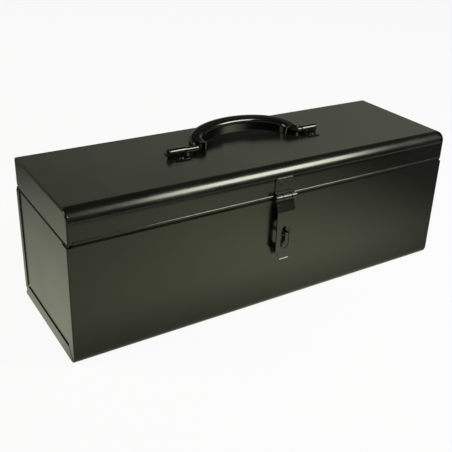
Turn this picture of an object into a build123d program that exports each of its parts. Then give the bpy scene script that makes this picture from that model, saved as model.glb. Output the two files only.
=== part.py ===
from build123d import *

import math
import os

# A black sheet-steel tool box with a hinged lid, a hasp and a folding carrying handle.
# X runs along the length, -Y is the front, +Z is up, and the origin is the middle of the base.

# Box
LENGTH = 452.0  # over the end flanges of the body
BODY_DEPTH = 142.4  # outside of the front to outside of the back
HEIGHT = 157.0  # base to the top of the lid
LID_DEPTH = 31.0  # top of the lid to the lower edge of its skirts
SHEET = 1.0  # steel sheet of the body and lid
LID_CLEAR = 0.4  # gap between the lid skirts and the walls inside them
LIP = 8.0  # how far the front wall and end panels rise into the lid
SEAT_GAP = 0.3  # lid skirt above the sloping shoulder that it rests on
STEP_RISE = 3.4  # height of that shoulder, where the walls step in to pass inside the lid
BOTTOM_RADIUS = 9.5  # outside of the bend from the front to the bottom
FOLD_RADIUS = 1.3  # outside of the sharper folds of the body
FRONT_FLANGE = 12.0  # flange of the front round each end
BACK_FLANGE = 8.0  # flange of the back round each end
BOTTOM_FLANGE = 14.0  # flange of the bottom round each end
MITRE_GAP = 1.8  # slit between the front and bottom flanges
RELIEF_GAP = 2.5  # notch between the back and bottom flanges, at its narrow end
RELIEF_TOP = 7.5  # height of that notch at the back
HEM_HEIGHT = 6.0  # folded hem along the front lip
LID_RADIUS = 14.0  # outside of the rolled front edge of the lid
LID_FOLD = 1.8  # outside of the other folds of the lid
EAR_RADIUS = 9.0  # front corner of the end skirts, which stand proud of the roll
EAR = 2.0  # how far the end skirts reach along the roll
CORNER_GAP = 0.9  # open joint between the end skirts and the roll
EDGE_RADIUS = 0.9  # painted lower edge of the lid
BEAD_R = 1.5  # rolled bead along the lower front edge of the lid
BEAD_OUT = 1.1  # how far the bead stands out
BEAD_INSET = 5.0  # end of the bead from the end of the lid

# Rear hinges
HINGE_INSET = 75.0  # middle of each hinge from the end of the lid
HINGE_LENGTH = 44.0
HINGE_LEAF = 22.0  # leaf height from the pin
HINGE_SHEET = 1.2
HINGE_PIN_R = 1.75
PIN_CLEAR = 0.05  # running clearance of every pin
HINGE_KNUCKLE = 15.0  # middle knuckle
KNUCKLE_GAP = 0.3

# Hasp and staple
HASP_X = 0.0
HASP_SHEET = 1.2
HASP_WIDTH = 22.5
HASP_RISE = 1.0  # hasp pin above the lower edge of the lid
HASP_PLATE = 19.5  # height of the hasp plate above the pin
HASP_STANDOFF = 1.9  # joggle of the plate below its flat
HASP_PIN_R = 1.85
HASP_KNUCKLE = 9.8
HASP_GAP = 0.8  # between the knuckles of the hasp
STRAP_WIDTH = 21.5
STRAP_STEP = 4.5  # how far the strap leans out to pass over the staple plate
STRAP_BEND = 15.5  # foot of that lean below the hasp pin
STRAP_DROP = 58.5  # end of the straight sides below the hasp pin
STRAP_TAPER = 2.0
TAB_ROOT = 17.0
TAB_WIDTH = 9.0
TAB_LENGTH = 7.7
TAB_CURL = 2.0  # curled lip of the finger tab
TAB_ANGLE = 46.0
SLOT_HEIGHT = 26.0
SLOT_SIDE = 0.5  # slot clear of each side of the staple
SLOT_DROP = 44.5  # middle of the slot below the hasp pin
STAPLE_DROP = 40.0  # staple below the hasp pin
STAPLE_WIRE_R = 1.2
STAPLE_EYE = 4.6  # clear width of the eye
STAPLE_REACH = 11.2  # tip of the loop from the body front
STAPLE_PLATE_X = 10.5
STAPLE_PLATE_Z = 28.0

# Handle, folded back onto the lid; its height is measured from the bail ends in its own plane
HANDLE_X = 0.0
HANDLE_Y = 1.7
HANDLE_TILT = 10.0  # slope of the folded handle, in degrees
ROD_R = 3.0
ROD_HEIGHT = 5.0  # middle of the bail ends above the lid
FOOT_RISE = 8.0  # height of the middle of the grip's two ovals
FOOT_RADIUS = 7.0  # bend of the bail at each foot
GRIP_SHEET = 1.2
GRIP_DEPTH = 13.0  # walls of the grip below its face
GRIP_SHOULDER = 4.5
GRIP_X = 5.0  # middle of the grip from the middle of the saddles
GRIP_OUT_X = 66.0  # half width over the outer wall
GRIP_OUT_H = 39.0  # rise of the outer wall above the feet
GRIP_IN_X = 51.0
GRIP_IN_H = 24.5
SADDLE_IN = 73.0  # inner end of each saddle from the middle of the handle
SADDLE_LENGTH = 17.5
SADDLE_SHEET = 1.2
SADDLE_FOOT = 9.0
BAIL_HEAD = 1.2  # peened end of the bail
RIVET_R = 1.6
RIVET_HEAD_R = 2.6
RIVET_HEAD = 1.4

# Values that follow from those above
FRONT_Y = -BODY_DEPTH / 2
BACK_Y = BODY_DEPTH / 2
BODY_END = LENGTH / 2  # outside of the end flanges
PANEL_OUT = BODY_END - SHEET  # outside of the end panels
LID_END = PANEL_OUT  # the lid skirts are flush with the end panels and the front
LID_FRONT_Y = FRONT_Y
SEAM_Z = HEIGHT - LID_DEPTH  # lower edge of the lid skirts
STEP = SHEET + LID_CLEAR  # how far the walls step in
STEP_Z = SEAM_Z - SEAT_GAP - STEP_RISE * SHEET / STEP  # foot of the shoulder
LIP_Z = SEAM_Z + LIP
HINGE_X = LID_END - HINGE_INSET
HINGE_BORE_R = HINGE_PIN_R + PIN_CLEAR
HINGE_R = HINGE_BORE_R + HINGE_SHEET
HINGE_Y = BACK_Y + HINGE_R
HINGE_Z = SEAM_Z - SEAT_GAP
HASP_BORE_R = HASP_PIN_R + PIN_CLEAR
HASP_R = HASP_BORE_R + HASP_SHEET
HASP_Y = LID_FRONT_Y - HASP_STANDOFF - HASP_R
HASP_Z = SEAM_Z + HASP_RISE
HASP_TOP = HASP_Z + HASP_PLATE
STRAP_BEND_Z = HASP_Z - STRAP_BEND
STRAP_END_Z = HASP_Z - STRAP_DROP
TAB_Z = STRAP_END_Z - STRAP_TAPER - TAB_LENGTH
SLOT_Z = HASP_Z - SLOT_DROP
STAPLE_Z = HASP_Z - STAPLE_DROP
SLOT_WIDTH = STAPLE_EYE + 4 * STAPLE_WIRE_R + 2 * SLOT_SIDE
BAIL_X = (GRIP_OUT_X + GRIP_IN_X) / 2
BAIL_H = (GRIP_OUT_H + GRIP_IN_H) / 2
GRIP_FACE = ROD_R + PIN_CLEAR + GRIP_SHEET  # face of the grip above the middle of the bail
ROD_Z = HEIGHT + ROD_HEIGHT
SADDLE_BORE_R = ROD_R + PIN_CLEAR
SADDLE_R = SADDLE_BORE_R + SADDLE_SHEET
SADDLE_REACH = SADDLE_R + SADDLE_FOOT
RIVET_Y = SADDLE_R + SADDLE_FOOT * 0.55


def block(x0, x1, y0, y1, z0, z1):
    """A box between two corners."""
    return Pos((x0 + x1) / 2, (y0 + y1) / 2, (z0 + z1) / 2) * Box(x1 - x0, y1 - y0, z1 - z0)


def rod_x(x0, x1, y, z, radius):
    """A round bar along X."""
    return Pos((x0 + x1) / 2, y, z) * Rot(0, 90, 0) * Cylinder(radius, x1 - x0)


def rod_z(x, y, z0, z1, radius):
    """A round bar along Z."""
    return Pos(x, y, (z0 + z1) / 2) * Cylinder(radius, z1 - z0)


def section(points, x0, x1):
    """A closed outline in Y and Z, carried along X."""
    face = Plane.YZ * make_face(Polyline(*points, close=True))
    return Pos(x0, 0, 0) * extrude(face, x1 - x0, dir=(1, 0, 0))


def bent_sheet(back_face, thickness, x0, x1):
    """A sheet of even thickness whose back face follows a line in Y and Z, thickened to the front."""
    front_face = []
    for i, point in enumerate(back_face):
        before = back_face[max(i - 1, 0)]
        after = back_face[min(i + 1, len(back_face) - 1)]
        first = math.atan2(point[1] - before[1], point[0] - before[0]) if i > 0 else None
        second = math.atan2(after[1] - point[1], after[0] - point[0]) if i < len(back_face) - 1 else None
        first = second if first is None else first
        second = first if second is None else second
        middle = (first + second) / 2
        reach = thickness / math.cos((second - first) / 2)
        front_face.append((point[0] + reach * math.sin(middle), point[1] - reach * math.cos(middle)))
    return section(back_face + front_face[::-1], x0, x1)


def rounded_profile(y0, y1, z0, z1, radii):
    """A rectangle in Y and Z with some corners rounded, given as {(y, z): radius}."""
    face = make_face(Polyline((y0, z0), (y1, z0), (y1, z1), (y0, z1), close=True))
    for (y, z), radius in radii.items():
        corner = face.vertices().sort_by_distance((y, z, 0))[0]
        face = fillet(corner, radius)
    return Plane.YZ * face


def both_ends(shape):
    """A shape and its mirror image at the other end of the box."""
    return shape + mirror(shape, about=Plane.YZ)


def body_blank(top_z):
    """The outside of the body as a solid block with its folds rounded."""
    radii = {(FRONT_Y, 0): BOTTOM_RADIUS, (BACK_Y, 0): FOLD_RADIUS}
    outside = extrude(rounded_profile(FRONT_Y, BACK_Y, 0, top_z, radii), BODY_END, both=True)
    ends = [e for e in outside.edges() if abs(abs(e.center().X) - BODY_END) < 0.01]
    return fillet([e for e in ends if e.center().Z < top_z - 0.01], FOLD_RADIUS)


def corner_cuts():
    """The mitre at the front and the wedge of relief at the back of the lower corners of the flanges."""
    short = BOTTOM_RADIUS * 0.3
    mitre_y = FRONT_FLANGE - short
    mitre_z = BOTTOM_FLANGE - short
    slit = Box(2 * SHEET, math.hypot(mitre_y, mitre_z) + 2 * MITRE_GAP, MITRE_GAP)
    slope = math.degrees(math.atan2(mitre_z, mitre_y))
    middle = (BODY_END, FRONT_Y + FRONT_FLANGE - mitre_y / 2, BOTTOM_FLANGE - mitre_z / 2)
    mitre = Pos(*middle) * Rot(slope, 0, 0) * slit
    inner_y = BACK_Y - BACK_FLANGE
    wedge = [(BACK_Y + SHEET, SHEET), (BACK_Y + SHEET, RELIEF_TOP)]
    wedge += [(inner_y + SHEET, BOTTOM_FLANGE + SHEET), (inner_y - RELIEF_GAP, BOTTOM_FLANGE + SHEET)]
    return both_ends(mitre + section(wedge, PANEL_OUT, BODY_END + SHEET))


def stepped_line(outside):
    """The outer face of a wall that steps in over the shoulder, drawn upwards from well below it."""
    inward = math.copysign(STEP, -outside)
    line = [(outside, STEP_Z - LIP), (outside, STEP_Z)]
    return line + [(outside + inward, STEP_Z + STEP_RISE), (outside + inward, LIP_Z)]


def body_wrapper():
    """One sheet folded into the front, bottom and back, with flanges turned round the ends."""
    back_top = HINGE_Z - SEAT_GAP
    inner = {(FRONT_Y + SHEET, SHEET): BOTTOM_RADIUS - SHEET}
    cavity = rounded_profile(FRONT_Y + SHEET, BACK_Y - SHEET, SHEET, LIP_Z, inner)
    sheet = body_blank(back_top) - extrude(cavity, PANEL_OUT, both=True)
    sheet -= block(-LENGTH, LENGTH, FRONT_Y + FRONT_FLANGE, BACK_Y - BACK_FLANGE, BOTTOM_FLANGE, LIP_Z)
    sheet -= block(-LENGTH, LENGTH, FRONT_Y - SHEET, 0, STEP_Z, LIP_Z)
    sheet -= both_ends(block(PANEL_OUT, LENGTH, 0, BACK_Y + SHEET, STEP_Z, LIP_Z))
    sheet -= corner_cuts()
    lip_end = PANEL_OUT - STEP - SHEET - LID_CLEAR
    sheet += bent_sheet(stepped_line(FRONT_Y), SHEET, -lip_end, lip_end)
    hem_y = FRONT_Y + STEP + SHEET
    sheet += block(-lip_end, lip_end, hem_y, hem_y + SHEET, LIP_Z - HEM_HEIGHT, LIP_Z)
    long_edges = [e for e in sheet.edges().filter_by(Axis.X) if e.length > LENGTH / 2]
    sheet = fillet([e for e in long_edges if e.center().Z > LIP_Z - 0.01], SHEET * 0.6)
    hole = Rot(90, 0, 0) * Cylinder(STAPLE_WIRE_R + PIN_CLEAR, 6 * SHEET)
    for x in staple_leg_x():
        sheet -= Pos(x, FRONT_Y, STAPLE_Z) * hole
    return sheet


def end_panel():
    """A sheet that closes the right end from inside the flanges, stepped in to rise inside the lid."""
    y0 = FRONT_Y + STEP
    y1 = BACK_Y - STEP
    radii = {(y0, STEP): BOTTOM_RADIUS, (y0, LIP_Z): 4 * SHEET, (y1, LIP_Z): 4 * SHEET}
    outline = extrude(rounded_profile(y0, y1, STEP, LIP_Z, radii), LENGTH, dir=(1, 0, 0))
    line = [(PANEL_OUT, 0)] + stepped_line(PANEL_OUT)[1:]
    sheet = Rot(0, 0, -90) * bent_sheet(line[::-1], SHEET, -BODY_DEPTH, BODY_DEPTH)
    return sheet & outline


def lid_corner_groove():
    """The open joint between the end skirt and the rolled front edge, at the right end."""
    x0 = LID_END - EAR - CORNER_GAP
    x1 = LID_END - EAR
    y = LID_FRONT_Y + LID_RADIUS
    z = HEIGHT - LID_RADIUS
    ring = rod_x(x0, x1, y, z, LID_RADIUS + SHEET) - rod_x(x0, x1, y, z, LID_RADIUS - SHEET / 2)
    reach = LID_RADIUS * 0.8
    return ring & block(x0, x1, LID_FRONT_Y - SHEET, LID_FRONT_Y + reach, HEIGHT - reach, HEIGHT + SHEET)


def saddle_middles():
    """The middle of each saddle along X."""
    offset = SADDLE_IN + SADDLE_LENGTH / 2
    return {"left": HANDLE_X - offset, "right": HANDLE_X + offset}


def rivet_places(x):
    """The two rivets of the saddle at x."""
    return [(x, HANDLE_Y - RIVET_Y), (x, HANDLE_Y + RIVET_Y)]


def lid_profile(front_y, back_y, low_z, high_z, front_radius, back_radius):
    """The outline of the lid seen from its end."""
    radii = {(front_y, high_z): front_radius, (back_y, high_z): back_radius}
    return rounded_profile(front_y, back_y, low_z, high_z, radii)


def lid_end_skirt():
    """The end skirt on the right, whose front corner is squarer than the rolled edge beside it."""
    face = lid_profile(LID_FRONT_Y, BACK_Y, SEAM_Z, HEIGHT, EAR_RADIUS, LID_FOLD + SHEET)
    skirt = Pos(LID_END - EAR, 0, 0) * extrude(face, EAR, dir=(1, 0, 0))
    rim = [e for e in skirt.edges() if abs(e.center().X - LID_END) < 0.01]
    return fillet([e for e in rim if e.center().Z > SEAM_Z + 0.01], LID_FOLD)


def lid_bead():
    """The rolled bead along the lower front edge."""
    end = LID_END - BEAD_INSET
    y = LID_FRONT_Y + BEAD_R - BEAD_OUT
    z = SEAM_Z + BEAD_R
    bead = rod_x(-end, end, y, z, BEAD_R)
    return bead + Pos(-end, y, z) * Sphere(BEAD_R) + Pos(end, y, z) * Sphere(BEAD_R)


def lid_shell():
    """One sheet folded into the top and four skirts, with a large rolled edge along the front."""
    outside = lid_profile(LID_FRONT_Y, BACK_Y, SEAM_Z, HEIGHT, LID_RADIUS, LID_FOLD + SHEET)
    shell = extrude(outside, LID_END - EAR, both=True) + both_ends(lid_end_skirt())
    rim = [e for e in shell.edges() if abs(e.bounding_box().max.Z - SEAM_Z) < 0.001]
    shell = fillet(rim, EDGE_RADIUS) + lid_bead()
    front = LID_FRONT_Y + SHEET
    back = BACK_Y - SHEET
    inside = lid_profile(front, back, SEAM_Z - SHEET, HEIGHT - SHEET, LID_RADIUS - SHEET, LID_FOLD)
    shell -= extrude(inside, LID_END - SHEET, both=True)
    back_chamfer = 4.5 * SHEET
    front_chamfer = 2.5 * SHEET
    for y, size in ((BACK_Y, -back_chamfer), (LID_FRONT_Y, front_chamfer)):
        points = [(y - size / 2, SEAM_Z - 0.5 * abs(size)), (y + size, SEAM_Z), (y, SEAM_Z + abs(size))]
        points.append((y - size / 2, SEAM_Z + abs(size)))
        shell -= both_ends(section(points, LID_END - SHEET, LID_END + SHEET))
    shell -= both_ends(lid_corner_groove())
    for x in saddle_middles().values():
        for place in rivet_places(x):
            shell -= rod_z(*place, HEIGHT - 3 * SHEET, HEIGHT + SHEET, RIVET_R + PIN_CLEAR)
    return shell


def hinge_knuckles(x, part):
    """The stretches of barrel that belong to one leaf, as start and end along X."""
    middle = HINGE_KNUCKLE / 2
    end = HINGE_LENGTH / 2
    if part == "lid":
        return [(x - middle, x + middle)]
    inner = middle + KNUCKLE_GAP
    return [(x - end, x - inner), (x + inner, x + end)]


def hinge_leaf(x, part):
    """A leaf spot-welded to the back, with its edge rolled round the pin."""
    low_z = HINGE_Z if part == "lid" else HINGE_Z - HINGE_LEAF
    half = HINGE_LENGTH / 2
    leaf = block(x - half, x + half, BACK_Y, BACK_Y + HINGE_SHEET, low_z, low_z + HINGE_LEAF)
    free_corners = [e for e in leaf.edges().filter_by(Axis.Y) if abs(e.center().Z - HINGE_Z) > HINGE_LEAF / 2]
    leaf = fillet(free_corners, 2 * HINGE_SHEET)
    for x0, x1 in hinge_knuckles(x, part):
        leaf += rod_x(x0, x1, HINGE_Y, HINGE_Z, HINGE_R)
    other = "body" if part == "lid" else "lid"
    room = HINGE_R + KNUCKLE_GAP
    for x0, x1 in hinge_knuckles(x, other):
        leaf -= rod_x(x0 - KNUCKLE_GAP, x1 + KNUCKLE_GAP, HINGE_Y, HINGE_Z, room)
    return leaf - rod_x(x - HINGE_LENGTH, x + HINGE_LENGTH, HINGE_Y, HINGE_Z, HINGE_BORE_R)


def hinge_pin(x):
    """The pin through both leaves of one hinge."""
    reach = HINGE_LENGTH / 2 + HINGE_SHEET
    pin = rod_x(x - reach, x + reach, HINGE_Y, HINGE_Z, HINGE_PIN_R)
    return chamfer(pin.edges().filter_by(GeomType.CIRCLE), HINGE_PIN_R * 0.3)


def hasp_knuckles(part):
    """The stretches of the hasp barrel that belong to the plate or to the strap."""
    middle = HASP_KNUCKLE / 2
    if part == "strap":
        return [(HASP_X - middle, HASP_X + middle)]
    inner = middle + HASP_GAP
    end = HASP_WIDTH / 2
    return [(HASP_X - end, HASP_X - inner), (HASP_X + inner, HASP_X + end)]


def roll_hasp(leaf, part, other):
    """Adds the rolled knuckles of one hasp leaf and makes room for the knuckles of the other."""
    for x0, x1 in hasp_knuckles(part):
        leaf += rod_x(x0, x1, HASP_Y, HASP_Z, HASP_R)
    for x0, x1 in hasp_knuckles(other):
        leaf -= rod_x(x0 - HASP_GAP, x1 + HASP_GAP, HASP_Y, HASP_Z, HASP_R + KNUCKLE_GAP)
    return leaf - rod_x(HASP_X - HASP_WIDTH, HASP_X + HASP_WIDTH, HASP_Y, HASP_Z, HASP_BORE_R)


def hasp_plate():
    """The upper leaf of the hasp, spot-welded to the front of the lid."""
    knuckle_back = LID_FRONT_Y - HASP_STANDOFF
    flat_z = HASP_Z + HASP_R + 0.6 * HASP_STANDOFF
    line = [(LID_FRONT_Y, HASP_TOP), (LID_FRONT_Y, flat_z)]
    line += [(knuckle_back, HASP_Z + HASP_R), (knuckle_back, HASP_Z)]
    sheet = bent_sheet(line, HASP_SHEET, HASP_X - HASP_WIDTH / 2, HASP_X + HASP_WIDTH / 2)
    corners = [e for e in sheet.edges().filter_by(Axis.Y) if e.center().Z > HASP_TOP - 0.01]
    sheet = fillet(corners, 2 * HASP_SHEET)
    brow = sheet.edges().filter_by(Axis.X).filter_by_position(Axis.Z, HASP_TOP - 0.01, HASP_TOP + 0.01)
    sheet = fillet(brow.sort_by(Axis.Y)[0], HASP_SHEET * 0.5)
    return roll_hasp(sheet, "plate", "strap")


def strap_outline():
    """The strap seen from the front: straight sides that taper to the finger tab."""
    half = STRAP_WIDTH / 2
    low = TAB_Z - TAB_CURL - HASP_SHEET
    points = [(-half, HASP_Z), (-half, STRAP_END_Z)]
    points += [(-TAB_ROOT / 2, STRAP_END_Z - STRAP_TAPER), (-TAB_WIDTH / 2, low)]
    face = make_face(Polyline(*points, *[(-x, z) for x, z in points[::-1]], close=True))
    bends = [v for v in face.vertices() if TAB_Z < v.Y < STRAP_BEND_Z]
    face = fillet(bends, STRAP_TAPER * 0.3)
    upper = Pos(HASP_X, 0, 0) * (Plane.XZ * face)
    return extrude(upper, 4 * HASP_R - HASP_Y, dir=(0, -1, 0))


def hasp_strap():
    """The lower leaf of the hasp: it leans out, then hangs straight, with a slot and a finger tab."""
    upper_y = LID_FRONT_Y - HASP_STANDOFF
    lower_y = upper_y - STRAP_STEP
    line = [(upper_y, HASP_Z), (upper_y, HASP_Z - HASP_R), (lower_y, STRAP_BEND_Z), (lower_y, TAB_Z)]
    for turn in (math.radians(TAB_ANGLE / 2), math.radians(TAB_ANGLE)):
        y, z = line[-1]
        line.append((y - TAB_CURL / 2 * math.sin(turn), z - TAB_CURL / 2 * math.cos(turn)))
    sheet = bent_sheet(line, HASP_SHEET, HASP_X - STRAP_WIDTH / 2, HASP_X + STRAP_WIDTH / 2)
    sheet = sheet & strap_outline()
    slot = Plane.XZ * SlotOverall(SLOT_HEIGHT, SLOT_WIDTH, rotation=90)
    sheet -= Pos(HASP_X, lower_y, SLOT_Z) * extrude(slot, 4 * HASP_SHEET, both=True)
    return roll_hasp(sheet, "strap", "plate")


def hasp_pin():
    """The headed pin of the hasp."""
    end = HASP_WIDTH / 2
    head_x = HASP_X - end - KNUCKLE_GAP
    pin = rod_x(head_x, HASP_X + end + HASP_SHEET, HASP_Y, HASP_Z, HASP_PIN_R)
    head = rod_x(head_x - 2 * HASP_SHEET, head_x, HASP_Y, HASP_Z, HASP_R * 0.95)
    rim = head.edges().filter_by(GeomType.CIRCLE).sort_by(Axis.X)[0]
    return pin + fillet(rim, HASP_SHEET)


def staple_leg_x():
    """The two legs of the staple along X."""
    offset = STAPLE_EYE / 2 + STAPLE_WIRE_R
    return [HASP_X - offset, HASP_X + offset]


def staple_plate():
    """The washer plate under the staple on the body front."""
    half_x = STAPLE_PLATE_X / 2
    half_z = STAPLE_PLATE_Z / 2
    z0 = STAPLE_Z - half_z
    plate = block(HASP_X - half_x, HASP_X + half_x, FRONT_Y - HASP_SHEET, FRONT_Y, z0, z0 + STAPLE_PLATE_Z)
    plate = fillet(plate.edges().filter_by(Axis.Y), 2 * HASP_SHEET)
    hole = Rot(90, 0, 0) * Cylinder(STAPLE_WIRE_R + PIN_CLEAR, 6 * HASP_SHEET)
    for x in staple_leg_x():
        plate -= Pos(x, FRONT_Y, STAPLE_Z) * hole
    return plate


def staple_loop():
    """The wire staple that comes through the slot of the strap, peened over inside the body."""
    bend = STAPLE_EYE / 2 + STAPLE_WIRE_R
    bend_y = FRONT_Y - STAPLE_REACH + bend + STAPLE_WIRE_R
    inside_y = FRONT_Y + SHEET
    left, right = staple_leg_x()
    path = Line((left, inside_y), (left, bend_y))
    path += ThreePointArc((left, bend_y), (HASP_X, bend_y - bend), (right, bend_y))
    path += Line((right, bend_y), (right, inside_y))
    ring = Pos(left, inside_y, 0) * (Plane.XZ * Circle(STAPLE_WIRE_R))
    loop = Pos(0, 0, STAPLE_Z) * sweep(ring, path=path)
    for x in staple_leg_x():
        head = Pos(x, inside_y + SHEET / 2, STAPLE_Z) * Rot(90, 0, 0)
        loop += head * Cylinder(STAPLE_WIRE_R * 1.6, SHEET)
    return loop


def bail_path():
    """The middle line of the bail between its straight ends: a bend at each foot and half an ellipse."""
    bend_x = BAIL_X + FOOT_RADIUS
    path = CenterArc((-bend_x, FOOT_RADIUS), FOOT_RADIUS, -90, 90)
    path += Line((-BAIL_X, FOOT_RADIUS), (-BAIL_X, FOOT_RISE))
    path += EllipticalCenterArc((0, FOOT_RISE), BAIL_X, BAIL_H, start_angle=180, arc_size=-180)
    path += Line((BAIL_X, FOOT_RISE), (BAIL_X, FOOT_RADIUS))
    path += CenterArc((bend_x, FOOT_RADIUS), FOOT_RADIUS, 180, 90)
    return path


def on_the_lid(handle_piece):
    """Puts a piece of the handle at its bail axis, folded back as it rests."""
    folded = Rot(HANDLE_TILT, 0, 0) * handle_piece
    return Pos(HANDLE_X, HANDLE_Y, ROD_Z) * folded


def handle_bail():
    """The wire under the grip, with straight ends that turn in the saddles and are peened outside them."""
    bend_x = BAIL_X + FOOT_RADIUS
    ring = Pos(-bend_x, 0, 0) * (Plane.YZ * Circle(ROD_R))
    bail = Pos(GRIP_X, 0, 0) * sweep(ring, path=bail_path())
    outer = SADDLE_IN + SADDLE_LENGTH + KNUCKLE_GAP
    bail += rod_x(-outer, GRIP_X - bend_x, 0, 0, ROD_R) + rod_x(GRIP_X + bend_x, outer, 0, 0, ROD_R)
    head = rod_x(-BAIL_HEAD / 2, BAIL_HEAD / 2, 0, 0, SADDLE_R)
    head = fillet(head.edges().filter_by(GeomType.CIRCLE), BAIL_HEAD * 0.4)
    for side in (-1, 1):
        bail += Pos(side * (outer + BAIL_HEAD / 2), 0, 0) * head
    return on_the_lid(bail)


def grip_band(inset, low, high, feet_h, shoulder):
    """The solid band between the two walls of the grip, moved in from its outside by inset."""
    outer = Ellipse(GRIP_OUT_X - inset, GRIP_OUT_H - inset)
    inner = Ellipse(GRIP_IN_X + inset, GRIP_IN_H + inset)
    ring = Pos(0, FOOT_RISE, 0) * (outer - inner)
    above_feet = Pos(0, feet_h + LENGTH / 2, 0) * Rectangle(LENGTH, LENGTH)
    band = Pos(0, 0, low) * extrude(ring & above_feet, high - low)
    curved = [e for e in band.edges().filter_by(GeomType.ELLIPSE) if e.center().Z > high - 0.01]
    return fillet(curved, shoulder)


def handle_grip():
    """The pressed channel over the bail, open below and at its feet, whose rim rests on the lid."""
    low = GRIP_FACE - GRIP_DEPTH
    feet_h = ROD_R + GRIP_SHEET
    channel = grip_band(0, low, GRIP_FACE, feet_h, GRIP_SHOULDER)
    roof = GRIP_FACE - GRIP_SHEET
    channel -= grip_band(GRIP_SHEET, low - GRIP_DEPTH, roof, feet_h - ROD_R, GRIP_SHOULDER - GRIP_SHEET)
    channel = on_the_lid(Pos(GRIP_X, 0, 0) * channel)
    rest_z = HEIGHT + SEAT_GAP
    return channel - block(-LENGTH, LENGTH, -LENGTH, LENGTH, 0, rest_z)


def saddle(x):
    """A strap bent over one end of the bail, with a riveted foot in front and behind."""
    half = SADDLE_LENGTH / 2
    y = HANDLE_Y
    arch = rod_x(x - half, x + half, y, ROD_Z, SADDLE_R)
    arch += block(x - half, x + half, y - SADDLE_R, y + SADDLE_R, HEIGHT, ROD_Z)
    feet = block(x - half, x + half, y - SADDLE_REACH, y + SADDLE_REACH, HEIGHT, HEIGHT + SADDLE_SHEET)
    feet = fillet(feet.edges().filter_by(Axis.Z), 2 * SADDLE_SHEET)
    bracket = arch + feet
    x0 = x - SADDLE_LENGTH
    x1 = x + SADDLE_LENGTH
    bracket -= rod_x(x0, x1, y, ROD_Z, SADDLE_BORE_R)
    bracket -= block(x0, x1, y - SADDLE_BORE_R, y + SADDLE_BORE_R, HEIGHT - SHEET, ROD_Z)
    for place in rivet_places(x):
        bracket -= rod_z(*place, HEIGHT - SHEET, HEIGHT + 2 * SADDLE_SHEET, RIVET_R + PIN_CLEAR)
    return bracket


def backing_plate(x):
    """The plate inside the lid that spreads the pull of one saddle."""
    half = SADDLE_LENGTH / 2
    under = HEIGHT - SHEET
    y0 = HANDLE_Y - SADDLE_REACH
    y1 = HANDLE_Y + SADDLE_REACH
    plate = block(x - half, x + half, y0, y1, under - SADDLE_SHEET, under)
    plate = fillet(plate.edges().filter_by(Axis.Z), 2 * SADDLE_SHEET)
    for place in rivet_places(x):
        plate -= rod_z(*place, under - 2 * SADDLE_SHEET, under + SADDLE_SHEET, RIVET_R + PIN_CLEAR)
    return plate


def saddle_rivets(x):
    """The two round-head rivets of one saddle."""
    low = HEIGHT - SHEET - SADDLE_SHEET
    high = HEIGHT + SADDLE_SHEET
    rivets = []
    for place in rivet_places(x):
        head = rod_z(*place, high, high + RIVET_HEAD, RIVET_HEAD_R)
        rim = head.edges().filter_by(GeomType.CIRCLE).sort_by(Axis.Z)[-1]
        tail = rod_z(*place, low - RIVET_HEAD * 0.7, low, RIVET_HEAD_R)
        rivets.append(rod_z(*place, low, high, RIVET_R) + fillet(rim, RIVET_HEAD * 0.9) + tail)
    return Compound(children=rivets)


parts = {
    "body_wrapper": body_wrapper(),
    "right_end_panel": end_panel(),
    "left_end_panel": mirror(end_panel(), about=Plane.YZ),
    "lid_shell": lid_shell(),
    "hasp_plate": hasp_plate(),
    "hasp_strap": hasp_strap(),
    "hasp_pin": hasp_pin(),
    "staple_plate": staple_plate(),
    "staple_loop": staple_loop(),
    "handle_bail": handle_bail(),
    "handle_grip": handle_grip(),
}
for side, x in {"left": -HINGE_X, "right": HINGE_X}.items():
    parts[side + "_hinge_body_leaf"] = hinge_leaf(x, "body")
    parts[side + "_hinge_lid_leaf"] = hinge_leaf(x, "lid")
    parts[side + "_hinge_pin"] = hinge_pin(x)
for side, x in saddle_middles().items():
    parts[side + "_saddle"] = saddle(x)
    parts[side + "_backing_plate"] = backing_plate(x)
    parts[side + "_saddle_rivets"] = saddle_rivets(x)

os.makedirs("parts", exist_ok=True)
for name, shape in parts.items():
    export_step(shape, "parts/" + name + ".step")
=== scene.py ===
import math

import bmesh
import bpy
from mathutils import Matrix, Vector


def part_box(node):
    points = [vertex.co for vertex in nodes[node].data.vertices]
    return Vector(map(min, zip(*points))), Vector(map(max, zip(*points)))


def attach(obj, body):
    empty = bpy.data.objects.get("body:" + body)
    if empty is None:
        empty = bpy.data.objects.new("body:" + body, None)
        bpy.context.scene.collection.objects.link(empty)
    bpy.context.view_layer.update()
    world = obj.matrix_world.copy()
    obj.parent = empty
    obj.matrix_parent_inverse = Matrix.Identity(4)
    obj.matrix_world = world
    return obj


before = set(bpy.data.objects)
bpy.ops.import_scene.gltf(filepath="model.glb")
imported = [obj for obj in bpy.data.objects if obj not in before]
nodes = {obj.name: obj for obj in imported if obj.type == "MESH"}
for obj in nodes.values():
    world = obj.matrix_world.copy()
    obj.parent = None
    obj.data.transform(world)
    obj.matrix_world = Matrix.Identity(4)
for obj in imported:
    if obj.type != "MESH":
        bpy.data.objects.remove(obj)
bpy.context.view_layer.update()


# Body
# One sheet of steel folded into the front, bottom and back, with flanges turned round two flat
# end panels. The whole body is dipped and stoved in one coat of black enamel.

MM = 0.001


def linear(hex_colour):
    """A colour as Blender wants it, from sRGB hex."""
    channels = [int(hex_colour[i:i + 2], 16) / 255 for i in (1, 3, 5)]
    return [c / 12.92 if c <= 0.04045 else ((c + 0.055) / 1.055) ** 2.4 for c in channels] + [1.0]


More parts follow.
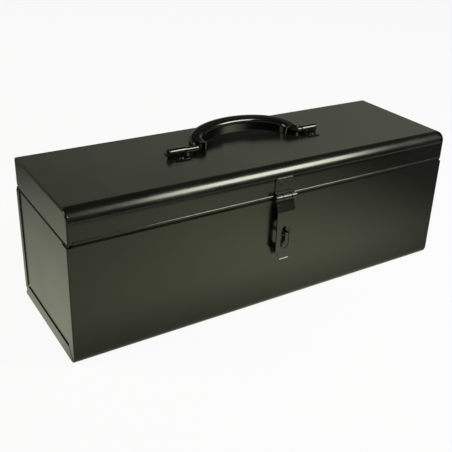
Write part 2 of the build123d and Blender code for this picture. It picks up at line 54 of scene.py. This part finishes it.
def add(tree, kind, inputs, **settings):
    """Adds a node: sockets among its inputs are linked and other values are set.

    Inputs go by name, or by number on nodes whose inputs share names.
    """
    made = tree.nodes.new(kind)
    for name, value in settings.items():
        setattr(made, name, value)
    for name, value in inputs.items():
        if isinstance(value, bpy.types.NodeSocket):
            tree.links.new(value, made.inputs[name])
        else:
            made.inputs[name].default_value = value
    return made


def stoved_enamel(name, paint, thin_paint, roughness, scuff, peel):
    """Black stoving enamel over steel: a smooth, hard, dark film whose look is nearly all reflection.

    It is a little thinner and duller in broad patches, has a fine orange peel, and carries short
    dry scuffs where the box has been handled.
    """
    material = bpy.data.materials.new(name)
    material.use_nodes = True
    tree = material.node_tree
    tree.nodes.clear()
    place = add(tree, "ShaderNodeTexCoord", {}).outputs["Object"]

    # Patches of thinner paint, about 60 mm across.
    patch_size = 60 * MM
    patches = add(tree, "ShaderNodeTexNoise", {"Vector": place, "Scale": 1 / patch_size, "Detail": 3.0})
    patch = add(tree, "ShaderNodeMapRange", {
        "Value": patches.outputs[0], "From Min": 0.35, "From Max": 0.7, "To Min": 0.0, "To Max": 1.0,
    })
    tone = add(tree, "ShaderNodeMix", {
        0: patch.outputs[0], 6: linear(paint), 7: linear(thin_paint),
    }, data_type="RGBA")

    # Scuffs are slanting streaks about 1 mm wide and 10 to 15 mm long, in groups about 30 mm apart.
    streak_size = (14 * MM, 9 * MM, 1.1 * MM)
    streak_slant = (0.5, 0.3, 0.4)
    group_size = 30 * MM
    scuff_colour = "#5a594f"
    stretched = add(tree, "ShaderNodeMapping", {
        "Vector": place, "Scale": [1 / size for size in streak_size], "Rotation": streak_slant,
    })
    streaks = add(tree, "ShaderNodeTexNoise", {"Vector": stretched.outputs[0], "Scale": 1.0, "Detail": 2.0})
    groups = add(tree, "ShaderNodeTexNoise", {"Vector": place, "Scale": 1 / group_size, "Detail": 1.0})
    marked = add(tree, "ShaderNodeMath", {
        0: streaks.outputs[0], 1: groups.outputs[0],
    }, operation="MULTIPLY")
    scuffs = add(tree, "ShaderNodeMapRange", {
        "Value": marked.outputs[0], "From Min": 0.42, "From Max": 0.54, "To Min": 0.0, "To Max": scuff,
    })
    colour = add(tree, "ShaderNodeMix", {
        0: scuffs.outputs[0], 6: tone.outputs[2], 7: linear(scuff_colour),
    }, data_type="RGBA")

    # The gloss wanders by a few hundredths, and a scuff is dull.
    scuff_dullness = 0.35
    gloss = add(tree, "ShaderNodeMapRange", {
        "Value": patches.outputs[0], "From Min": 0.3, "From Max": 0.7,
        "To Min": roughness * 0.85, "To Max": roughness * 1.2,
    })
    dull = add(tree, "ShaderNodeMath", {
        0: scuffs.outputs[0], 1: scuff_dullness, 2: gloss.outputs[0],
    }, operation="MULTIPLY_ADD")

    # Orange peel is about 0.8 mm across on the real paint; it is drawn at 2 mm so that it shows.
    peel_size = 2 * MM
    peel_depth = 0.05 * MM
    bumps = add(tree, "ShaderNodeTexNoise", {"Vector": place, "Scale": 1 / peel_size, "Detail": 1.0})
    bump = add(tree, "ShaderNodeBump", {
        "Height": bumps.outputs[0], "Strength": peel, "Distance": peel_depth,
    })

    # The hard film mirrors a little more than plain varnish, with a faint olive cast.
    shader = add(tree, "ShaderNodeBsdfPrincipled", {
        "Base Color": colour.outputs[2], "Roughness": dull.outputs[0], "Normal": bump.outputs[0],
        "IOR": 1.62, "Specular Tint": linear("#fbffe8"),
    })
    add(tree, "ShaderNodeOutputMaterial", {"Surface": shader.outputs[0]})
    return material


def paint_nodes(material, names):
    """Gives CAD nodes a material in place of the one they were packed with."""
    for name in names:
        nodes[name].data.materials.clear()
        nodes[name].data.materials.append(material)


body_enamel = stoved_enamel("black_stoving_enamel", "#0f0f0c", "#161612",
                            roughness=0.22, scuff=0.12, peel=0.08)
paint_nodes(body_enamel, ["body_wrapper", "left_end_panel", "right_end_panel"])


# Lid
# One sheet folded into a shallow tray with a large rolled edge along the front. The corners of
# the roll are closed with a short bead of weld, which the enamel covers.

lid_enamel = stoved_enamel("black_stoving_enamel_lid", "#0f0f0c", "#161612",
                           roughness=0.20, scuff=0.12, peel=0.06)
paint_nodes(lid_enamel, ["lid_shell", "left_backing_plate", "right_backing_plate"])

lid_low, lid_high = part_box("lid_shell")
body_low, body_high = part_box("body_wrapper")
ROLL_RADIUS = 14 * MM
JOINT_INSET = 2.4 * MM
WELD_ANGLE = math.radians(38)
WELD_SIZE = (1.3 * MM, 0.7 * MM, 1.9 * MM)
WELD_SINK = 0.2 * MM


def new_piece(name, mesh, material, body):
    """Makes an object of a bmesh whose place is already in its points, and lets it ride on a body."""
    bmesh.ops.recalc_face_normals(mesh, faces=mesh.faces)
    data = bpy.data.meshes.new(name)
    mesh.to_mesh(data)
    mesh.free()
    data.materials.append(material)
    piece = bpy.data.objects.new(name, data)
    bpy.context.scene.collection.objects.link(piece)
    for polygon in data.polygons:
        polygon.use_smooth = True
    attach(piece, body)


def corner_weld(name, x):
    """A small rounded bead across the open joint between the end skirt and the roll."""
    mesh = bmesh.new()
    bmesh.ops.create_uvsphere(mesh, u_segments=16, v_segments=10, radius=1.0)
    reach = ROLL_RADIUS - WELD_SINK
    y = body_low.y + ROLL_RADIUS - reach * math.cos(WELD_ANGLE)
    z = lid_high.z - ROLL_RADIUS + reach * math.sin(WELD_ANGLE)
    place = Matrix.Translation((x, y, z)) @ Matrix.Rotation(-WELD_ANGLE, 4, "X")
    bmesh.ops.transform(mesh, matrix=place @ Matrix.Diagonal((*WELD_SIZE, 1)), verts=mesh.verts)
    new_piece(name, mesh, lid_enamel, "lid")


corner_weld("left_corner_weld", lid_low.x + JOINT_INSET)
corner_weld("right_corner_weld", lid_high.x - JOINT_INSET)


# Rear hinges
# Two pressed butt hinges. Their leaves are spot-welded to the back of the body and of the lid
# before painting, so each leaf shows the shallow round marks of the welding tips.

SIDES = ("left", "right")
hardware_enamel = stoved_enamel("gloss_black_enamel", "#0f0f0d", "#151512",
                                roughness=0.20, scuff=0.2, peel=0.05)
for side in SIDES:
    paint_nodes(hardware_enamel, [f"{side}_hinge_{piece}" for piece in ("body_leaf", "lid_leaf", "pin")])

LEAF_SHEET = 1.2 * MM
SPOT_RADIUS = 2.4 * MM
SPOT_RIM = 0.12 * MM
SPOT_DISH = 0.10 * MM
LEAF_SPOT_INSET = 7 * MM
LEAF_SPOT_PITCH = 14 * MM


def spot_weld(name, centre, outward, body):
    """The round mark of a spot weld: a thin rim with a shallow dish inside it."""
    mesh = bmesh.new()
    bmesh.ops.create_circle(mesh, cap_ends=True, segments=28, radius=SPOT_RADIUS)
    disc = mesh.faces[:]
    grown = bmesh.ops.extrude_face_region(mesh, geom=disc)
    top = [item for item in grown["geom"] if isinstance(item, bmesh.types.BMFace)]
    points = [item for item in grown["geom"] if isinstance(item, bmesh.types.BMVert)]
    bmesh.ops.translate(mesh, vec=(0, 0, SPOT_RIM), verts=points)
    bmesh.ops.inset_region(mesh, faces=top, thickness=SPOT_RADIUS * 0.25, depth=0.0)
    bmesh.ops.inset_region(mesh, faces=top, thickness=SPOT_RADIUS * 0.3, depth=-SPOT_DISH)
    turn = Vector((0, 0, 1)).rotation_difference(Vector(outward)).to_matrix().to_4x4()
    bmesh.ops.transform(mesh, matrix=Matrix.Translation(centre) @ turn, verts=mesh.verts)
    new_piece(name, mesh, hardware_enamel, body)


for side in SIDES:
    for leaf, body in (("body_leaf", "box"), ("lid_leaf", "lid")):
        leaf_low, leaf_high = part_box(f"{side}_hinge_{leaf}")
        middle_x = (leaf_low.x + leaf_high.x) / 2
        leaf_face = body_high.y + LEAF_SHEET
        spot_z = leaf_low.z + LEAF_SPOT_INSET if leaf == "body_leaf" else leaf_high.z - LEAF_SPOT_INSET
        for number, offset in enumerate((-LEAF_SPOT_PITCH, 0.0, LEAF_SPOT_PITCH), 1):
            centre = (middle_x + offset, leaf_face, spot_z)
            spot_weld(f"{side}_hinge_{leaf}_weld_{number}", centre, (0, 1, 0), body)


# Hasp and staple
# A pressed plate and strap on a headed pin, with a wire staple through the slot of the strap.
# All of it is painted with the box, and rubbing has kept its edges smooth and glossy.

paint_nodes(hardware_enamel, ["hasp_plate", "hasp_strap", "hasp_pin", "staple_plate", "staple_loop"])

PLATE_SPOT_INSET = 5 * MM
PLATE_SPOT_OFFSET = 5 * MM
plate_face = body_low.y - LEAF_SHEET
plate_spot_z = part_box("hasp_plate")[1].z - PLATE_SPOT_INSET
for number, offset in enumerate((-PLATE_SPOT_OFFSET, PLATE_SPOT_OFFSET), 1):
    spot_weld(f"hasp_plate_weld_{number}", (offset, plate_face, plate_spot_z), (0, -1, 0), "lid")


# Handle
# A wire bail welded under a pressed steel channel. Its ends turn in two saddles that are riveted
# through the lid. The channel has the deepest gloss, from a thicker coat and from use.

handle_enamel = stoved_enamel("deep_gloss_black_enamel", "#0a0a09", "#10100e",
                              roughness=0.13, scuff=0.12, peel=0.03)
paint_nodes(handle_enamel, ["handle_bail", "handle_grip"])
for side in SIDES:
    paint_nodes(handle_enamel, [f"{side}_saddle", f"{side}_saddle_rivets"])


# Studio
# A floor of white paper that runs out of sight in a dim room, a soft light high in front to the
# right that draws the bright strip on the rolled edge, and a softer light from the left.

FLOOR_SIZE = 12.0
FLOOR_COLOUR = "#f4f4f1"
FLOOR_WHITE = 0.93
LIGHT_WHITE = "#ffffff"
ROOM_COLOUR = "#fbffe6"

floor_mesh = bmesh.new()
bmesh.ops.create_grid(floor_mesh, x_segments=1, y_segments=1, size=FLOOR_SIZE)
floor_data = bpy.data.meshes.new("studio_floor")
floor_mesh.to_mesh(floor_data)
floor_mesh.free()
floor = bpy.data.objects.new("studio_floor", floor_data)
bpy.context.scene.collection.objects.link(floor)


def seen_directly(tree, paths):
    """One for what the camera sees, also in a mirror or through glass, and none for other light."""
    seen = paths.outputs["Is Camera Ray"]
    for ray in ("Is Transmission Ray", "Is Glossy Ray"):
        either = add(tree, "ShaderNodeMath", {0: seen, 1: paths.outputs[ray]}, operation="MAXIMUM")
        seen = either.outputs[0]
    return seen


floor_paper = bpy.data.materials.new("white_paper")
floor_paper.use_nodes = True
tree = floor_paper.node_tree
tree.nodes.clear()
paths = add(tree, "ShaderNodeLightPath", {})
share = add(tree, "ShaderNodeMath", {0: seen_directly(tree, paths), 1: FLOOR_WHITE}, operation="MULTIPLY")

# Mirrored in the enamel, the paper shows a painted pool of light. Before the box it is fullest at the
# middle, under half as bright to the left and nearly gone to the right. It halves close to the box,
# which is painted shade, and it also halves far from the box. From the front of the box backwards it
# fades towards the back. Lengths are metres.
floor_place = add(tree, "ShaderNodeTexCoord", {}).outputs["Object"]
along = add(tree, "ShaderNodeSeparateXYZ", {"Vector": floor_place})
rising = add(tree, "ShaderNodeMapRange", {
    "Value": along.outputs["X"], "From Min": -0.34, "From Max": 0.02, "To Min": 0.42, "To Max": 1.0,
})
fading = add(tree, "ShaderNodeMapRange", {
    "Value": along.outputs["X"], "From Min": 0.06, "From Max": 0.44, "To Min": 1.0, "To Max": 0.03,
}, interpolation_type="SMOOTHSTEP")
# Painted shade: the mirrored paper dims close to the box.
painted_contact_shade = add(tree, "ShaderNodeMapRange", {
    "Value": along.outputs["Y"], "From Min": -0.14, "From Max": -0.08, "To Min": 1.0, "To Max": 0.5,
})
distant = add(tree, "ShaderNodeMapRange", {
    "Value": along.outputs["Y"], "From Min": -0.42, "From Max": -0.18, "To Min": 0.5, "To Max": 1.0,
})
painted_front_pool = rising
for ramp in (fading, painted_contact_shade, distant):
    painted_front_pool = add(tree, "ShaderNodeMath", {
        0: painted_front_pool.outputs[0], 1: ramp.outputs[0],
    }, operation="MULTIPLY")
painted_side_pool = add(tree, "ShaderNodeMapRange", {
    "Value": along.outputs["Y"], "From Min": 0.0, "From Max": 0.45, "To Min": 0.88, "To Max": 0.05,
})
beside = add(tree, "ShaderNodeMapRange", {
    "Value": along.outputs["Y"], "From Min": -0.08, "From Max": -0.03, "To Min": 0.0, "To Max": 1.0,
})
pool = add(tree, "ShaderNodeMix", {0: beside.outputs[0], 2: painted_front_pool.outputs[0], 3: painted_side_pool.outputs[0]})

mirrored = paths.outputs["Is Glossy Ray"]
# Reflections see the painted pool of light and shade in place of the even white of the paper.
strength = add(tree, "ShaderNodeMix", {0: mirrored, 2: 1.0, 3: pool.outputs[0]})
shade = add(tree, "ShaderNodeMix", {
    0: mirrored, 6: linear(LIGHT_WHITE), 7: linear(ROOM_COLOUR),
}, data_type="RGBA")
paper = add(tree, "ShaderNodeBsdfDiffuse", {"Color": linear(FLOOR_COLOUR)})
white = add(tree, "ShaderNodeEmission", {"Color": shade.outputs[2], "Strength": strength.outputs[0]})
both = add(tree, "ShaderNodeMixShader", {0: share.outputs[0], 1: paper.outputs[0], 2: white.outputs[0]})
add(tree, "ShaderNodeOutputMaterial", {"Surface": both.outputs[0]})
floor_data.materials.append(floor_paper)

world = bpy.data.worlds.new("studio_room")
bpy.context.scene.world = world
world.use_nodes = True
tree = world.node_tree
tree.nodes.clear()

# The room is brightest on the wall behind the box, more so to the right and in a band below the
# dark ceiling. The lid mirrors that wall. The rest of the room has only a dim glow.
ROOM_GLOW = 0.04
room_place = add(tree, "ShaderNodeTexCoord", {}).outputs["Generated"]
direction = add(tree, "ShaderNodeSeparateXYZ", {"Vector": room_place})
below = add(tree, "ShaderNodeMapRange", {
    "Value": direction.outputs["Z"], "From Min": 0.40, "From Max": 0.60, "To Min": 1.0, "To Max": 0.0,
}, interpolation_type="SMOOTHSTEP")
behind = add(tree, "ShaderNodeMapRange", {
    "Value": direction.outputs["Y"], "From Min": 0.05, "From Max": 0.55, "To Min": 0.0, "To Max": 1.0,
}, interpolation_type="SMOOTHSTEP")
lifted = add(tree, "ShaderNodeMapRange", {
    "Value": direction.outputs["Z"], "From Min": 0.30, "From Max": 0.39, "To Min": 0.56, "To Max": 1.3,
})
right = add(tree, "ShaderNodeMapRange", {
    "Value": direction.outputs["X"], "From Min": 0.1, "From Max": 0.7, "To Min": 0.16, "To Max": 0.40,
})
wall = below
for ramp in (behind, lifted):
    wall = add(tree, "ShaderNodeMath", {0: wall.outputs[0], 1: ramp.outputs[0]}, operation="MULTIPLY")
glow = add(tree, "ShaderNodeMath", {
    0: wall.outputs[0], 1: right.outputs[0], 2: ROOM_GLOW,
}, operation="MULTIPLY_ADD")
room = add(tree, "ShaderNodeBackground", {"Color": linear(ROOM_COLOUR), "Strength": glow.outputs[0]})

# A low white backdrop stands past the edge of the paper, and the enamel mirrors it too.
low_band = add(tree, "ShaderNodeMapRange", {
    "Value": direction.outputs["Z"], "From Min": 0.06, "From Max": 0.08, "To Min": 1.0, "To Max": 0.0,
})
paths = add(tree, "ShaderNodeLightPath", {})
shown = add(tree, "ShaderNodeMath", {
    0: seen_directly(tree, paths), 1: low_band.outputs[0],
}, operation="MULTIPLY")
backdrop = add(tree, "ShaderNodeBackground", {"Color": linear(LIGHT_WHITE), "Strength": FLOOR_WHITE})
surround = add(tree, "ShaderNodeMixShader", {0: shown.outputs[0], 1: room.outputs[0], 2: backdrop.outputs[0]})
add(tree, "ShaderNodeOutputWorld", {"Surface": surround.outputs[0]})


def soft_light(name, place, aim, size, power, colour, only_mirrored=False):
    """A rectangular soft box whose long side stays level with the length of the tool box."""
    lamp = bpy.data.lights.new(name, "AREA")
    lamp.shape = "RECTANGLE"
    lamp.size, lamp.size_y = size
    lamp.energy = power
    lamp.color = linear(colour)[:3]
    soft_box = bpy.data.objects.new(name, lamp)
    bpy.context.scene.collection.objects.link(soft_box)
    towards = (Vector(place) - Vector(aim)).normalized()
    across = (Vector((1, 0, 0)) - towards * towards.x).normalized()
    upward = towards.cross(across)
    turn = Matrix((across, upward, towards)).transposed().to_4x4()
    soft_box.matrix_world = Matrix.Translation(place) @ turn
    soft_box.visible_diffuse = not only_mirrored


# Places and sizes are metres and powers are watts. The gleam is a second lamp in the front soft
# box that shows only in reflections, and it brings the strip up to its full brightness.
FRONT_PLACE = (0.60, -0.61, 0.99)
FRONT_AIM = (0.10, -0.065, 0.15)
FRONT_SIZE = (0.51, 0.5)
FRONT_POWER = 10.0
GLEAM_POWER = 13.5
LEFT_PLACE = (-1.4, 0.5, 0.9)
LEFT_AIM = (-0.2, 0.0, 0.1)
LEFT_SIZE = (0.9, 0.9)
LEFT_POWER = 8.0
soft_light("front_soft_box", FRONT_PLACE, FRONT_AIM, FRONT_SIZE, FRONT_POWER, LIGHT_WHITE)
soft_light("front_gleam", FRONT_PLACE, FRONT_AIM, FRONT_SIZE, GLEAM_POWER, LIGHT_WHITE, only_mirrored=True)
soft_light("left_soft_box", LEFT_PLACE, LEFT_AIM, LEFT_SIZE, LEFT_POWER, ROOM_COLOUR)

# The camera was fitted to the corners of the box in the photograph: its focal length and optical
# centre are in pixels of that picture, its place in metres and its angles in degrees.
PHOTO_SIZE = 452
FOCAL_PIXELS = 714.44
OPTICAL_CENTRE = (245, 206)
CAMERA_PLACE = (-0.3973, -0.59148, 0.4241)
CAMERA_AZIMUTH = -34.029
CAMERA_ELEVATION = 25.494
CAMERA_ROLL = 2.855
SENSOR_MM = 36.0

camera_data = bpy.data.cameras.new("photo_camera")
camera_data.sensor_width = SENSOR_MM
camera_data.lens = SENSOR_MM * FOCAL_PIXELS / PHOTO_SIZE
camera_data.shift_x = (PHOTO_SIZE / 2 - OPTICAL_CENTRE[0]) / PHOTO_SIZE
camera_data.shift_y = (OPTICAL_CENTRE[1] - PHOTO_SIZE / 2) / PHOTO_SIZE
camera = bpy.data.objects.new("photo_camera", camera_data)
bpy.context.scene.collection.objects.link(camera)
azimuth = math.radians(CAMERA_AZIMUTH)
elevation = math.radians(CAMERA_ELEVATION)
backward = Vector((
    math.sin(azimuth) * math.cos(elevation),
    -math.cos(azimuth) * math.cos(elevation),
    math.sin(elevation),
))
level = Vector((0, 0, 1)).cross(backward).normalized()
facing = Matrix((level, backward.cross(level), backward)).transposed().to_4x4()
tilt = Matrix.Rotation(math.radians(CAMERA_ROLL), 4, "Z")
camera.matrix_world = Matrix.Translation(CAMERA_PLACE) @ facing @ tilt
bpy.context.scene.camera = camera
bpy.context.scene.view_settings.view_transform = "Standard"
